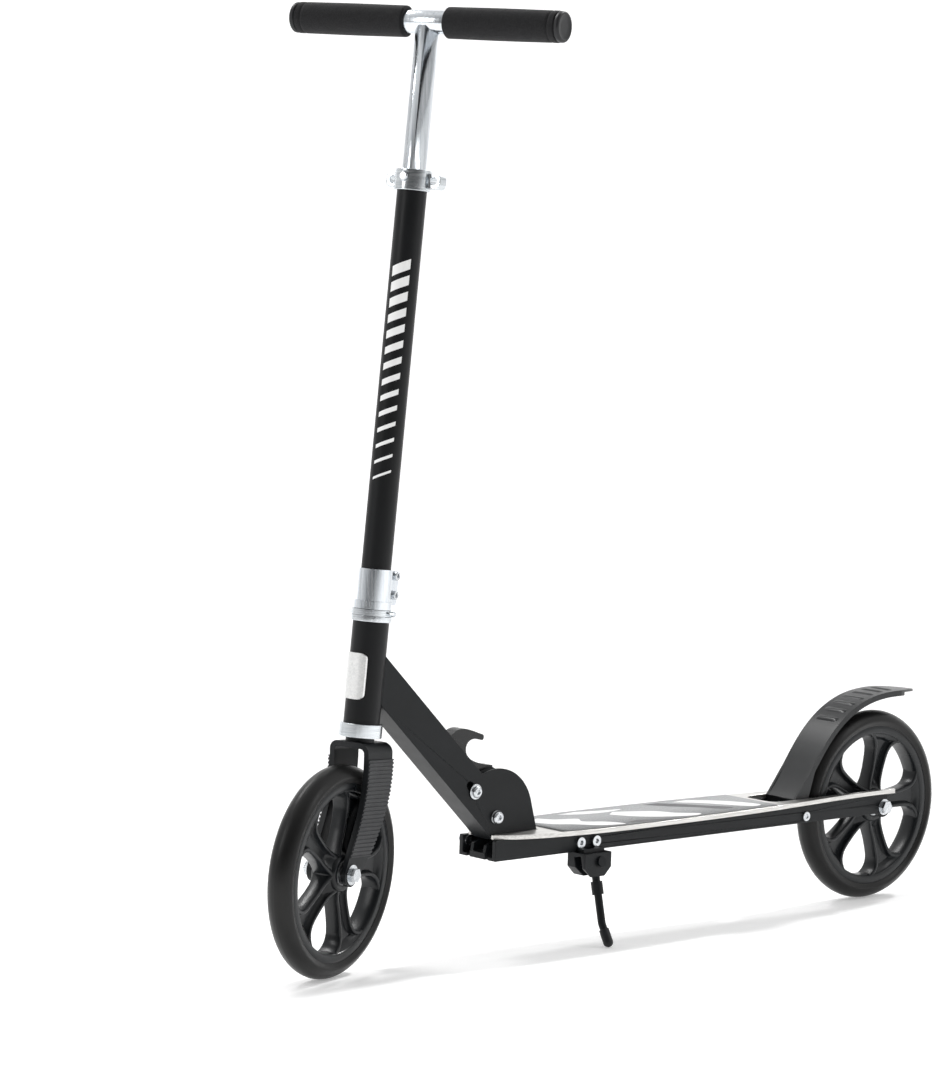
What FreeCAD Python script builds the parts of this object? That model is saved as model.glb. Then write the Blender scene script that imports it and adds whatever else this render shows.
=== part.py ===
"""Folding kick scooter with 200 mm wheels, on its side stand with the bar turned left.

Millimetres. Three frames are used:
  deck frame   X forwards, Y to the rider's left, Z up, origin on the ground under the rear wheel,
               scooter upright and steered straight ahead;
  head frame   u forwards, v left, s up the steering axis, origin where that axis crosses wheel-centre height;
  row frame    the deck frame leaned onto the side stand and moved to the centre of the footprint.
"""
import FreeCAD, Part
import math
import os

V = FreeCAD.Vector

# ---- stance ----------------------------------------------------------------------------------
steer_rest_deg = 18.6        # bar turned to the left
lean_deg = 2.8               # scooter leaned to the left onto its stand

# ---- overall layout --------------------------------------------------------------------------
wheelbase = 746.7
wheel_r = 100.0
rake_deg = 4.84              # steering axis leans back
fork_offset = 27.7           # axle ahead of the steering axis
bar_height_s = 787.8         # centre of the cross bar, up the steering axis
bar_half = 143.8             # to the outside of the end caps

# ---- clearances ------------------------------------------------------------------------------
running = 0.05               # radial, shaft in hole
gap = 0.3                    # between pieces of different bodies
slot_gap = 0.15              # each side of a pin in its slot
side_gap = 0.4               # each side of plates that pass each other

# ---- wheels ----------------------------------------------------------------------------------
tyre_w = 26.0
tyre_seat_r = 84.0           # rim outside, tyre inside
tyre_shoulder_r = 90.0       # where the round tread starts
tyre_foot_w = 22.0
rim_ring_r = 75.5            # inside of the rim ring
rim_ring_w = 22.0
rim_web_w = 15.0
hub_r = 17.0
hub_w = 26.0
spokes = 5
opening_in_r = 27.0
opening_out_r = 71.5
spoke_half = 8.2
opening_fillet_in = 4.5
opening_fillet_out = 13.0
recess_in_r = 24.0
recess_out_r = 70.0
recess_half_in = 3.5
recess_half_out = 4.8
recess_depth = 4.0
bearing_r = 11.0
bearing_w = 7.0
axle_r = 4.0
bolt_head_t = 5.0
dome_share = 0.6             # rounding of a button head, as a share of its height
hex_r = 7.0                  # hexagon of the axle nuts and heads, across corners / 2
rear_washer_r = 8.4
front_washer_r = 9.5
washer_t = 1.2
spacer_r = 6.5

# ---- deck ------------------------------------------------------------------------------------
rail_bottom = 93.5
rail_top = 113.5
rail_out = 26.0              # outside face, from the middle plane
rail_t = 5.0
rail_front = 556.0
rail_lobe_r = 11.0           # rounded end around the rear axle
rail_rear_x = -6.0
floor_t = 3.0
flange_in = 14.6             # inner edge of the rails' bottom flanges
flange_rear_x = 132.0
floor_front_x = 478.0
board_t = 4.5
board_half = ((-16.0, 27.5), (60.0, 28.5), (115.0, 33.5), (180.0, 40.0), (260.0, 44.5),
              (350.0, 46.5), (430.0, 45.5), (490.0, 39.5), (530.0, 29.5), (552.0, 18.0))
board_nose_in = 14.6         # half width of the front slot for the stem's cheeks
board_slot_front = 490.0     # rear end of that slot
wheel_slot_half = 21.5
wheel_slot_front = 166.0
wheel_slot_r = 12.0          # corners of the slot's front end
tape_t = 0.8
tape_inset = 3.0
tape_rear_x = 176.0
tape_front_x = 480.0
nose_bolt = (549.5, 107.5)   # x, z of the short bolt in the right rail's front end
nose_bolt_r = 2.5
nose_bolt_end = 5.5          # thread that stands out on the right
nose_nut_t = 3.2
nose_nut_r = 4.6
nose_head_t = 1.8
nose_head_r = 4.4
tongue_rear_x = 436.0        # rear end of the fold bracket's tongue over the floor plate

# ---- fold ------------------------------------------------------------------------------------
pivot = (545.6, 134.3)       # x, z
stem_slope_deg = 43.5
stem_half_h = 18.0
stem_half_w = 14.0
sheet_t = 2.5                # side walls and cheeks
stem_wall_t = 3.0            # front and rear walls
cheek_r = 47.0
cheek_end_deg = 162.0
cheek_heel = (-54.1, -17.3)  # from the pivot
stem_toe_z = -22.3           # lower end of the front wall, from the pivot
rear_wall_start_t = 108.0    # along the stem from the pivot
pin_t = 39.5                 # lock pin from the pivot, along the stem
pin_travel = 9.0
pin_r = 4.0
pin_washer_r = 7.5
pin_washer_t = 1.5
pin_head_r = 5.6
pin_half = 19.3
bracket_half = 10.9
bracket_plate_t = 4.0
cam_r = 33.8
cam_from_deg = 108.0
cam_to_deg = 228.0
lug_r = 44.0
lug_from_deg = 136.0
lug_to_deg = 152.0
bracket_boss_r = 14.0
bracket_base_t = 6.0
pivot_half = 19.3
pivot_head_r = 6.2
pivot_washer_r = 7.0
pivot_socket_r = 2.6
lever_half = 6.5
lever_back = ((56.4, 79.3), (51.0, 84.6), (43.0, 87.4), (34.0, 86.6), (24.0, 83.6), (15.2, 80.6))
lever_tip = (12.6, 77.4)     # end of the finger hook; these three run from the pivot
lever_throat = ((14.8, 74.6), (22.0, 76.4), (29.4, 75.8), (34.4, 71.4), (35.2, 65.6), (32.4, 60.0),
                (26.0, 55.8), (17.0, 52.6), (8.0, 50.6), (0.5, 49.6))
lever_root = (47.2, 94.0)    # along the stem
lever_root_n = 8.0
spring_stop_t = 122.0
spring_stop_w = 4.0
spring_pocket_t = 60.0       # floor of the spring's pocket in the release lever
spring_n = 2.0               # the spring's axis, from the stem's middle
spring_turns = 12
spring_wire_r = 0.7
spring_r = 3.3
spring_bore_r = 4.6

# ---- stand -----------------------------------------------------------------------------------
stand_pivot = (431.0, 33.0, 82.0)
stand_splay_deg = 13.6
stand_leg_r = 3.9
stand_boss_r = 7.0
stand_pin_r = 3.0
stand_pin_out = 10.6         # from the pivot to the underside of its head
foot_r = 5.0
foot_tip = (431.0, 56.6)     # x, y of the rubber foot's centre
foot_knee_up = 17.0
stand_block = (416.0, 452.0, 17.0, 42.0, 70.0)   # x, x, y, y, bottom z
stand_block_top = 97.0
stand_flange = (17.9, 20.9)  # inner flange, y
stand_eye_half = 4.0         # half the leg's boss along its pin
stand_bolt_x = (424.0, 445.0)
stand_bolt_z = 102.5
stand_bolt_r = 3.0
stand_chamfer = 9.0
stand_foot_len = 13.0
stand_sleeve_r = 5.8
stand_sleeve = (18.0, 31.0)  # thicker stretch of the leg, from the pivot

# ---- rear guard and brake --------------------------------------------------------------------
brake_pin = (121.0, 100.5)
brake_pin_r = 4.0
guard_half = 20.6
guard_t = 2.5
guard_lip_t = 2.5
guard_lip_h = 6.0
guard_outline = ((132.0, 118.0), (108.0, 148.0), (84.0, 178.5), (58.0, 200.5), (25.0, 215.5),
                 (-15.0, 221.5), (-66.0, 219.0))
guard_taper_x = -22.0        # where the tail starts to narrow
guard_bow = 0.72             # half width midway along the tail, as a share of the full half width
tab_t = 3.0
tab_boss_r = 7.5

# ---- head, fork and column (heights are s) ---------------------------------------------------
fork_inner = 16.0
fork_t = 5.0
crown_under = 113.0
crown_top = 118.5
crown_corner_r = 9.0
fork_rear = ((-25.0, 118.5), (-28.0, 88.0), (-24.0, 60.0), (-12.0, 33.0), (4.0, 6.0))
fork_front = ((20.0, 118.5), (15.5, 82.0), (20.5, 50.0), (28.5, 28.0), (34.0, 14.0))
fork_lobe_r = 11.5
cover_t = 1.8
cover_low = 14.0
cover_high = 112.5
cover_grooves = 24
cover_groove_h = 1.7
cover_groove_depth = 0.9
neck_r = 13.4
lower_ring_low = 122.6
head_low = 135.4
head_high = 230.8
upper_ring_high = 236.2
cone_high = 242.0
head_r = 17.0
head_bore_r = 14.5
ring_r = 20.0
ring_lug_r = 3.2
bearing_seat_r = 17.0
upper_bearing_r = 16.5
cup_lip = 0.8                # floor of the upper cup
bearing_seat_h = 7.0
steerer_r = 12.7
steerer_bore_r = 11.4
steerer_top = 300.0
outer_tube_r = 14.0
outer_tube_top = 638.0
outer_tube_low = 243.0
clamp_r = 15.8
clamp_low = 242.4
clamp_high = 279.7
clamp_flange_r = 17.6
clamp_flange_h = 7.5
clamp_ear = (-27.5, -13.0, 9.0)      # u, u, half v
clamp_slit_half = 1.2
clamp_bolt_u = -21.0
clamp_bolt_s = (256.0, 274.0)
clamp_bolt_r = 2.5
clamp_bolt_head_r = 4.2
clamp_bolt_head_t = 3.5
collar_r = 17.0
collar_low = 631.3
collar_high = 650.8
collar_ear = (-12.0, 0.0, 29.0)      # u, u, half v
collar_ear_h = 14.5
eye_v = 21.5
eye_r = 3.5
button_r = 4.2
button_out = 19.5
button_travel = 1.5
bar_r = 11.1
bar_wall = 1.5
inner_tube_low = 470.0
saddle_trim = 4.0            # blunts the tips of the tube's saddle under the cross bar
bush_h = 14.0
grip_in = 21.5
grip_r = 15.0
grip_out = 139.0
badge_s = (158.0, 201.0)
badge_half = 13.0
badge_t = 1.2

rake = math.radians(rake_deg)
wheel_u = fork_offset
wheel_s = -fork_offset * math.tan(rake)
head_x = wheelbase - fork_offset / math.cos(rake)
slope = math.radians(stem_slope_deg)
board_top = rail_top + board_t
rail_in = rail_out - rail_t
fork_out = fork_inner + fork_t


# ---- helpers ---------------------------------------------------------------------------------
def box(x0, x1, y0, y1, z0, z1):
    return Part.makeBox(x1 - x0, y1 - y0, z1 - z0, V(x0, y0, z0))


def rod(radius, base, tip):
    axis = V(*tip) - V(*base)
    return Part.makeCylinder(radius, axis.Length, V(*base), axis)


def pipe(outer, inner, base, tip):
    return rod(outer, base, tip).cut(rod(inner, base, tip))


def hexagon(radius, base, tip):
    """Hexagonal prism between two points, across-corners radius."""
    axis = V(*tip) - V(*base)
    corners = [math.radians(60 * k) for k in range(7)]
    ring = [V(radius * math.cos(a), radius * math.sin(a), 0) for a in corners]
    prism = Part.Face(Part.makePolygon(ring)).extrude(V(0, 0, axis.Length))
    prism.Placement = FreeCAD.Placement(V(*base), FreeCAD.Rotation(V(0, 0, 1), axis))
    return prism


def curve(points):
    spline = Part.BSplineCurve()
    spline.interpolate([V(*p) for p in points])
    return spline.toShape()


def arc(a, b, c):
    return Part.Arc(V(*a), V(*b), V(*c)).toShape()


def line(a, b):
    return Part.makeLine(V(*a), V(*b))


def slab(edges, half_low, half_high):
    """Closed outline in the X-Z plane, extruded along Y."""
    face = Part.Face(Part.Wire(edges))
    face.translate(V(0, half_low, 0))
    return face.extrude(V(0, half_high - half_low, 0))


def polygon_slab(points, low, high):
    ring = [V(x, 0, z) for x, z in points] + [V(points[0][0], 0, points[0][1])]
    return slab(Part.makePolygon(ring).Edges, low, high)


def polar(radius, degrees, centre=(0.0, 0.0)):
    a = math.radians(degrees)
    return (centre[0] + radius * math.cos(a), centre[1] + radius * math.sin(a))


def lift(point):
    return (point[0], 0.0, point[1])


def sector(inner, outer, from_deg, to_deg, centre, low, high):
    """Part of a flat ring in the X-Z plane."""
    mid = (from_deg + to_deg) / 2
    a, b, c = (lift(polar(outer, d, centre)) for d in (from_deg, mid, to_deg))
    d, e, f = (lift(polar(inner, g, centre)) for g in (to_deg, mid, from_deg))
    return slab([arc(a, b, c), line(c, d), arc(d, e, f), line(f, a)], low, high)


def both(shape):
    """The shape and its mirror image in the middle plane, as separate solids."""
    return Part.makeCompound([shape, shape.mirror(V(0, 0, 0), V(0, 1, 0))])


def mirrored(shape):
    return shape.mirror(V(0, 0, 0), V(0, 1, 0))


def fuse(first, *others):
    return first.multiFuse(list(others)).removeSplitter()


def along_stem(t, n=0.0):
    """Point in the X-Z plane: t up the stem from the pivot, n towards its rear wall."""
    return (pivot[0] + t * math.cos(slope) - n * math.sin(slope),
            pivot[1] + t * math.sin(slope) + n * math.cos(slope))


def stem_rod(radius, t0, t1, n, y=0.0):
    a, b = along_stem(t0, n), along_stem(t1, n)
    return rod(radius, (a[0], y, a[1]), (b[0], y, b[1]))


def from_pivot(point):
    return (pivot[0] + point[0], pivot[1] + point[1])


def coil(radius, wire, turns, length):
    """Open coil along +Z from the origin."""
    helix = Part.makeHelix(length / turns, length, radius)
    section = Part.Wire(Part.makeCircle(wire, V(radius, 0, 0), V(0, 1, 0)))
    return Part.Wire(helix.Edges).makePipeShell([section], True, True)


# ---- wheel, centred on the origin with its axle along Y --------------------------------------
def tyre():
    half, foot = tyre_w / 2, tyre_foot_w / 2
    low = [(tyre_seat_r, 0, -foot), (tyre_shoulder_r, 0, -half), (wheel_r, 0, 0),
           (tyre_shoulder_r, 0, half), (tyre_seat_r, 0, foot)]
    edges = [line(low[0], low[1]), arc(low[1], low[2], low[3]), line(low[3], low[4]), line(low[4], low[0])]
    ring = Part.Face(Part.Wire(edges)).revolve(V(0, 0, 0), V(0, 0, 1), 360)
    ring.rotate(V(0, 0, 0), V(1, 0, 0), 90)
    return ring


def radial_pocket(r0, half0, r1, half1, low, high, fillet):
    shape = polygon_slab(((r0, -half0), (r1, -half1), (r1, half1), (r0, half0)), low, high)
    return shape.makeFillet(fillet, upright_edges(shape))


def upright_edges(shape):
    return [e for e in shape.Edges if abs(e.tangentAt(e.FirstParameter).y) > 0.9]


def rim_opening():
    """Opening between two spokes: sides parallel to the spokes, ends round the axle."""
    pitch = math.pi / spokes
    far = 2 * opening_out_r
    point = spoke_half / math.sin(pitch)
    half = (far - point) * math.tan(pitch)
    wedge = polygon_slab(((point, 0), (far, -half), (far, half)), -rim_web_w, rim_web_w)
    axis = ((0, -rim_web_w, 0), (0, rim_web_w, 0))
    shape = wedge.common(pipe(opening_out_r, opening_in_r, *axis))
    middle = (opening_in_r + opening_out_r) / 2
    upright = upright_edges(shape)
    outer = [e for e in upright if math.hypot(e.Vertexes[0].X, e.Vertexes[0].Z) > middle]
    shape = shape.makeFillet(opening_fillet_out, outer)
    upright = upright_edges(shape)
    inner = [e for e in upright if math.hypot(e.Vertexes[0].X, e.Vertexes[0].Z) < opening_in_r + 0.5]
    return shape.makeFillet(opening_fillet_in, inner)


def rim():
    ring = pipe(tyre_seat_r, rim_ring_r, (0, -rim_ring_w / 2, 0), (0, rim_ring_w / 2, 0))
    web = pipe(rim_ring_r + 1, hub_r - 1, (0, -rim_web_w / 2, 0), (0, rim_web_w / 2, 0))
    hub = pipe(hub_r, axle_r + 2.5, (0, -hub_w / 2, 0), (0, hub_w / 2, 0))
    faces = ((-rim_web_w / 2, -rim_web_w / 2 + recess_depth), (rim_web_w / 2 - recess_depth, rim_web_w / 2))
    for k in range(spokes):
        hole = rim_opening()
        hole.rotate(V(0, 0, 0), V(0, 1, 0), 360 * (k + 0.5) / spokes)
        web = web.cut(hole)
        for low, high in faces:
            pocket = radial_pocket(recess_in_r, recess_half_in, recess_out_r, recess_half_out, low, high, 2.5)
            pocket.rotate(V(0, 0, 0), V(0, 1, 0), 360 * k / spokes)
            web = web.cut(pocket)
    body = fuse(ring, web, hub)
    for side in (-1, 1):
        body = body.cut(rod(bearing_r, (0, side * (hub_w / 2 - bearing_w), 0), (0, side * hub_w, 0)))
    return body


def wheel_bearing():
    inner = hub_w / 2 - bearing_w
    return pipe(bearing_r, axle_r + running, (0, inner, 0), (0, hub_w / 2, 0))


def axle_bolt(half, washer_r):
    """Bolt along Y with a washer and a hexagon at each end, outside |y| = half."""
    shank = rod(axle_r, (0, -half - washer_t - bolt_head_t - 2, 0), (0, half + washer_t + bolt_head_t, 0))
    parts = [rod(washer_r, (0, half, 0), (0, half + washer_t, 0)),
             hexagon(hex_r, (0, half + washer_t, 0), (0, half + washer_t + bolt_head_t, 0)),
             rod(washer_r, (0, -half - washer_t, 0), (0, -half, 0)),
             hexagon(hex_r, (0, -half - washer_t - bolt_head_t, 0), (0, -half - washer_t, 0))]
    return fuse(shank, *parts)


def wheel_spacer(outer_face):
    return pipe(spacer_r, axle_r + running, (0, hub_w / 2 + gap, 0), (0, outer_face, 0))


# ---- deck ------------------------------------------------------------------------------------
def left_rail():
    wall = box(rail_rear_x, rail_front, rail_in, rail_out, rail_bottom, rail_top)
    lobe = rod(rail_lobe_r, (0, rail_in, wheel_r), (0, rail_out, wheel_r))
    flange = box(flange_rear_x, rail_front, flange_in, rail_in, rail_bottom, rail_bottom + floor_t)
    rail = fuse(wall, lobe, flange)
    rail = rail.cut(rod(axle_r + running, (0, 0, wheel_r), (0, rail_out + 1, wheel_r)))
    x, z = brake_pin
    return rail.cut(rod(brake_pin_r + running, (x, 0, z), (x, rail_out + 1, z)))


def nose_opening(rail):
    x, z = nose_bolt
    return rail.cut(rod(nose_bolt_r + running, (x, -rail_out - 1, z), (x, 0, z)))


def stand_openings(rail):
    """Bolt holes and the notch that lets the stand's inner flange through the bottom flange."""
    for x in stand_bolt_x:
        rail = rail.cut(rod(stand_bolt_r + running, (x, 0, stand_bolt_z), (x, rail_out + 1, stand_bolt_z)))
    x0, x1 = stand_block[:2]
    low, high = rail_bottom - 1, rail_bottom + floor_t + 1
    return rail.cut(box(x0 - gap, x1 + gap, stand_flange[0] - gap, rail_in, low, high))


def deck_outline(inset, x_low, x_high):
    """Plan of the deck's bulged sides between two stations, as a solid 1 mm plate at z = 0."""
    side = [V(x, y - inset, 0) for x, y in board_half]
    spline = Part.BSplineCurve()
    spline.interpolate(side)
    left = spline.toShape()
    right = left.mirror(V(0, 0, 0), V(0, 1, 0))
    first, last = side[0], side[-1]
    edges = [left, Part.makeLine(last, V(last.x, -last.y, 0)), right,
             Part.makeLine(V(first.x, -first.y, 0), first)]
    plate = Part.Face(Part.Wire(Part.__sortEdges__(edges))).extrude(V(0, 0, 1))
    return plate.common(box(x_low, x_high, -200, 200, -1, 2))


def deck_board():
    plate = deck_outline(0.0, -100, 700)
    plate = scaled_up(plate, board_t)
    plate.translate(V(0, 0, rail_top))
    nose = box(board_slot_front, 700, -board_nose_in, board_nose_in, rail_top - 1, board_top + 1)
    low, high = rail_top - 1, board_top + 1
    corner_x, corner_y = wheel_slot_front - wheel_slot_r, wheel_slot_half - wheel_slot_r
    rear = fuse(box(-100, corner_x, -wheel_slot_half, wheel_slot_half, low, high),
                box(-100, wheel_slot_front, -corner_y, corner_y, low, high),
                rod(wheel_slot_r, (corner_x, corner_y, low), (corner_x, corner_y, high)),
                rod(wheel_slot_r, (corner_x, -corner_y, low), (corner_x, -corner_y, high)))
    return plate.cut(nose).cut(rear)


def scaled_up(plate, thickness):
    """A 1 mm plate at z = 0 rebuilt from its lower face at another thickness."""
    bottom = min(plate.Faces, key=lambda f: f.CenterOfMass.z)
    return bottom.extrude(V(0, 0, thickness))


def grip_tape():
    plate = scaled_up(deck_outline(tape_inset, tape_rear_x, tape_front_x), tape_t)
    plate.translate(V(0, 0, board_top))
    return plate


def floor_plate():
    return box(flange_rear_x, floor_front_x, -flange_in, flange_in, rail_bottom, rail_bottom + floor_t)


def nose_bolt_piece():
    """Short bolt and nut in the right rail, thread outwards."""
    x, z = nose_bolt
    return fuse(rod(nose_bolt_r, (x, -rail_out - nose_bolt_end, z), (x, -rail_in, z)),
                rod(nose_head_r, (x, -rail_in, z), (x, -rail_in + nose_head_t, z)),
                hexagon(nose_nut_r, (x, -rail_out - nose_nut_t, z), (x, -rail_out, z)))


def fold_bracket():
    base_top = rail_bottom + bracket_base_t
    base = box(floor_front_x, rail_front, -bracket_half, bracket_half, rail_bottom, base_top)
    floor_top = rail_bottom + floor_t
    tongue = box(tongue_rear_x, floor_front_x + 1, -bracket_half, bracket_half, floor_top, base_top)
    inner = bracket_half - bracket_plate_t
    boss = rod(bracket_boss_r, (pivot[0], inner, pivot[1]), (pivot[0], bracket_half, pivot[1]))
    cam = sector(2.0, cam_r, cam_from_deg, cam_to_deg, pivot, inner, bracket_half)
    lug = sector(cam_r - 2, lug_r, lug_from_deg, lug_to_deg, pivot, inner, bracket_half)
    web = polygon_slab(((555.5, base_top - 1), (554.0, 107.0), (541.2, 112.0), (541.2, 121.0), pivot,
                        (521.0, 112.0), (500.0, base_top - 1)), inner, bracket_half)
    left = fuse(boss, cam, lug, web)
    bracket = fuse(base, tongue, left, mirrored(left))
    return bracket.cut(rod(axle_r + running, (pivot[0], -30, pivot[1]), (pivot[0], 30, pivot[1])))


def button_head(radius, base, tip, socket_r):
    """Low domed head between two points along Y, with a hexagon socket in its outer face."""
    head = rod(radius, base, tip)
    height = abs(tip[1] - base[1])
    rim = [e for e in head.Edges if abs(e.CenterOfMass.y - tip[1]) < 0.01 and e.Length > 3 * radius]
    head = head.makeFillet(dome_share * height, rim)
    return head.cut(hexagon(socket_r, (base[0], (base[1] + tip[1]) / 2, base[2]), tip))


def pivot_bolt():
    x, z = pivot
    seat = stem_half_w + gap + washer_t
    washer = rod(pivot_washer_r, (x, stem_half_w + gap, z), (x, seat, z))
    head = button_head(pivot_head_r, (x, seat, z), (x, pivot_half, z), pivot_socket_r)
    shank = rod(axle_r, (x, -seat, z), (x, seat, z))
    return fuse(shank, head, mirrored(head), washer, mirrored(washer))


# ---- stand -----------------------------------------------------------------------------------
splay = math.radians(stand_splay_deg)
stand_axis = V(0, math.cos(splay), math.sin(splay))
leg_way = V(0, math.sin(splay), -math.cos(splay))


def stand_frame(shape):
    """Carries a shape drawn with its pin along Y and its leg along -Z onto the stand's pivot."""
    shape.Placement = FreeCAD.Placement(V(*stand_pivot), FreeCAD.Rotation(V(1, 0, 0), stand_splay_deg))
    return shape


def stand_bracket():
    x0, x1, y0, y1, z0 = stand_block
    block = box(x0, x1, y0, y1, z0, rail_bottom)
    ends = [e for e in block.Edges if e.BoundBox.ZMax < z0 + 0.01 and e.BoundBox.YLength > 1]
    block = block.makeChamfer(stand_chamfer, ends)
    cap = box(x0 + 4, x1 - 4, rail_out, y1 - 6, rail_bottom - 1, stand_block_top)
    flange = box(x0, x1, stand_flange[0], stand_flange[1], rail_bottom - 1, stand_bolt_z + 6)
    reach = 60.0
    half = stand_eye_half + side_gap
    head_room = stand_boss_r + 0.8
    room = stand_frame(box(-reach, reach, -half, half, -reach, head_room))
    body = fuse(block, cap, flange).cut(room)
    body = body.cut(stand_frame(rod(stand_pin_r + running, (0, -reach, 0), (0, reach, 0))))
    for x in stand_bolt_x:
        body = body.cut(rod(stand_bolt_r + running, (x, 0, stand_bolt_z), (x, rail_out, stand_bolt_z)))
    return body


def stand_pin():
    shank = rod(stand_pin_r, (0, -12.5, 0), (0, stand_pin_out, 0))
    head = rod(stand_pin_r + 2.2, (0, stand_pin_out, 0), (0, stand_pin_out + 1.8, 0))
    return stand_frame(fuse(shank, head))


def stand_knee_and_toe():
    """Bend of the leg and centre of its rubber foot, in the deck frame."""
    lean = math.radians(lean_deg)
    toe_z = (foot_r - 0.2 + foot_tip[1] * math.sin(lean)) / math.cos(lean)
    knee_z = toe_z + foot_knee_up
    knee_y = stand_pivot[1] + (stand_pivot[2] - knee_z) * math.tan(splay)
    return V(foot_tip[0], knee_y, knee_z), V(foot_tip[0], foot_tip[1], toe_z)


def stand_leg():
    knee, toe = stand_knee_and_toe()
    eye = stand_frame(rod(stand_boss_r, (0, -stand_eye_half, 0), (0, stand_eye_half, 0)))
    leg = rod(stand_leg_r, stand_pivot, tuple(knee))
    ball = Part.makeSphere(stand_leg_r, knee)
    end = rod(stand_leg_r, tuple(knee), tuple(toe))
    way = (knee - V(*stand_pivot)).normalize()
    low, high = stand_sleeve
    sleeve = Part.makeCylinder(stand_sleeve_r, high - low, V(*stand_pivot) + way * low, way)
    body = fuse(eye, leg, ball, end, sleeve)
    return body.cut(stand_frame(rod(stand_pin_r + running, (0, -20, 0), (0, 20, 0))))


def stand_foot():
    knee, toe = stand_knee_and_toe()
    start = toe + (knee - toe).normalize() * stand_foot_len
    cup = fuse(rod(foot_r, tuple(start), tuple(toe)), Part.makeSphere(foot_r, toe))
    return cup.cut(rod(stand_leg_r, tuple(knee), tuple(toe)))


def stand_bolts():
    solids = []
    inner = stand_flange[0]
    for x in stand_bolt_x:
        shank = rod(stand_bolt_r, (x, inner - 4.6, stand_bolt_z), (x, rail_out + 1, stand_bolt_z))
        head = rod(5.4, (x, rail_out, stand_bolt_z), (x, rail_out + 3.2, stand_bolt_z))
        head = head.cut(hexagon(2.6, (x, rail_out + 1.4, stand_bolt_z), (x, rail_out + 4, stand_bolt_z)))
        nut = hexagon(5.6, (x, inner - 4.0, stand_bolt_z), (x, inner, stand_bolt_z))
        solids.append(fuse(shank, head, nut))
    return Part.makeCompound(solids)


# ---- rear guard ------------------------------------------------------------------------------
def inset_chain(points, distance):
    """Points moved towards the wheel by a distance."""
    moved = []
    for i, (x, z) in enumerate(points):
        a = points[max(i - 1, 0)]
        b = points[min(i + 1, len(points) - 1)]
        dx, dz = b[0] - a[0], b[1] - a[1]
        length = math.hypot(dx, dz)
        moved.append((x + dz / length * -distance, z + dx / length * distance))
    return moved


def guard_strip(outer_inset, inner_inset, low, high):
    outer = inset_chain(guard_outline, outer_inset)
    inner = inset_chain(guard_outline, inner_inset)
    upper = curve([lift(p) for p in outer])
    under = curve([lift(p) for p in reversed(inner)])
    edges = [upper, line(lift(outer[-1]), lift(inner[-1])), under, line(lift(inner[0]), lift(outer[0]))]
    return slab(edges, low, high)


def guard_plan():
    """Plan of the guard: straight sides and a rounded point at the tail."""
    tail = guard_outline[-1][0]
    wide = guard_half + 1
    bow_x = (guard_taper_x + tail) / 2
    bow_y = guard_half * guard_bow
    side = Part.BSplineCurve()
    side.interpolate([V(guard_taper_x, wide, 0), V(bow_x, bow_y, 0), V(tail, 0, 0), V(bow_x, -bow_y, 0),
                      V(guard_taper_x, -wide, 0)])
    front = brake_pin[0] + 60
    ring = [V(guard_taper_x, -wide, 0), V(front, -wide, 0), V(front, wide, 0), V(guard_taper_x, wide, 0)]
    return Part.Face(Part.Wire([side.toShape()] + Part.makePolygon(ring).Edges)).extrude(V(0, 0, 400))


def rear_guard():
    sheet = guard_strip(0.0, guard_t, -guard_half, guard_half)
    lip = guard_strip(0.0, guard_lip_h, guard_half - guard_lip_t, guard_half)
    x, z = brake_pin
    top = guard_outline[0]
    inner = inset_chain(guard_outline, guard_lip_h)
    corners = ((x - 7.0, z), (x + 6.9, z - 1.0), top, guard_outline[1], inner[1], (x - 8.0, z + 14.0))
    tab = polygon_slab(corners, guard_half - tab_t, guard_half)
    eye = rod(tab_boss_r, (x, guard_half - tab_t, z), (x, guard_half, z))
    side = fuse(lip, tab, eye)
    guard = fuse(sheet, side, mirrored(side)).common(guard_plan())
    return guard.cut(rod(brake_pin_r + running, (x, -40, z), (x, 40, z)))


def brake_pin_piece():
    x, z = brake_pin
    shank = rod(brake_pin_r, (x, -rail_out - 1, z), (x, rail_out + 1, z))
    head = rod(5.0, (x, rail_out, z), (x, rail_out + 2.2, z))
    head = head.cut(hexagon(2.4, (x, rail_out + 1.2, z), (x, rail_out + 3, z)))
    shank = shank.common(box(x - 9, x + 9, -rail_out - 1, rail_out + 1.2, z - 9, z + 9))
    return fuse(shank, head, mirrored(head))


def brake_spring():
    """Torsion spring round the brake pin, one leg on the floor plate and one towards the guard."""
    x, z = brake_pin
    radius = brake_pin_r + gap + 0.9
    length = 14.0
    body = coil(radius, 0.9, 5, length)
    body.rotate(V(0, 0, 0), V(1, 0, 0), -90)
    body.translate(V(x, -length / 2, z))
    start = x + radius
    floor_leg = rod(0.9, (start, length / 2, z), (start + 10.4, length / 2, rail_bottom + floor_t + 1.2))
    guard_leg = rod(0.9, (start, -length / 2, z), (start + 0.8, -length / 2, z + 11.5))
    return fuse(body, floor_leg, guard_leg)


# ---- stem ------------------------------------------------------------------------------------
def head_place(shape):
    """From the head frame to the deck frame."""
    turned = shape.copy()
    turned.Placement = HEAD.multiply(turned.Placement)
    return turned


HEAD = FreeCAD.Placement(V(head_x, 0, wheel_r), FreeCAD.Rotation(V(0, 1, 0), -rake_deg))


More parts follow.
